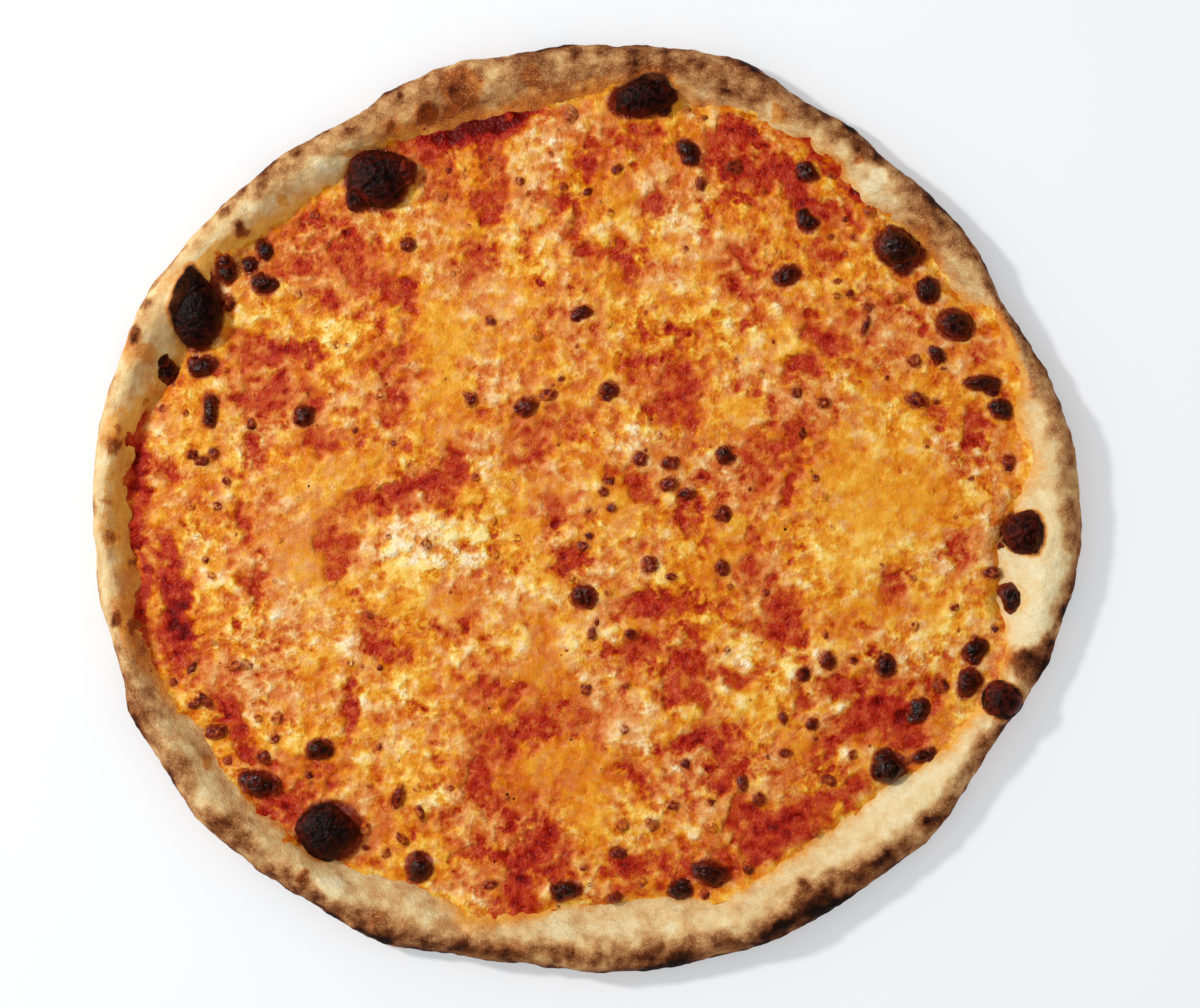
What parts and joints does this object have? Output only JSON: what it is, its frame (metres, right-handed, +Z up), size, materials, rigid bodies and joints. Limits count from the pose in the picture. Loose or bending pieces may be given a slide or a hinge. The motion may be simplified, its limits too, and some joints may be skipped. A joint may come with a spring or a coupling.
{
  "type": "margherita pizza",
  "caption": "Whole baked thin-crust pizza with a puffed, toasted rim, tomato sauce and blistered melted cheese.",
  "frame": {"origin": "on the surface that the pizza rests on, below the middle of its outline seen from above", "axes": "+Z up through the thickness of the pizza, +X and +Y across it"},
  "size_m": [0.4208, 0.3942, 0.0199],
  "materials": {
    "baked_dough": "matt floury bread crust, cream on the inner slope, toasted brown to charred outside",
    "tomato_sauce": "moist, pulpy, dark red",
    "melted_cheese": "oily melted cheese, mottled cream, gold and orange, with brown to black blisters"
  },
  "bodies": {
    "root": {"dough": "baked_dough", "tomato_sauce": "tomato_sauce", "melted_cheese": "melted_cheese"}
  },
  "joints": []
}
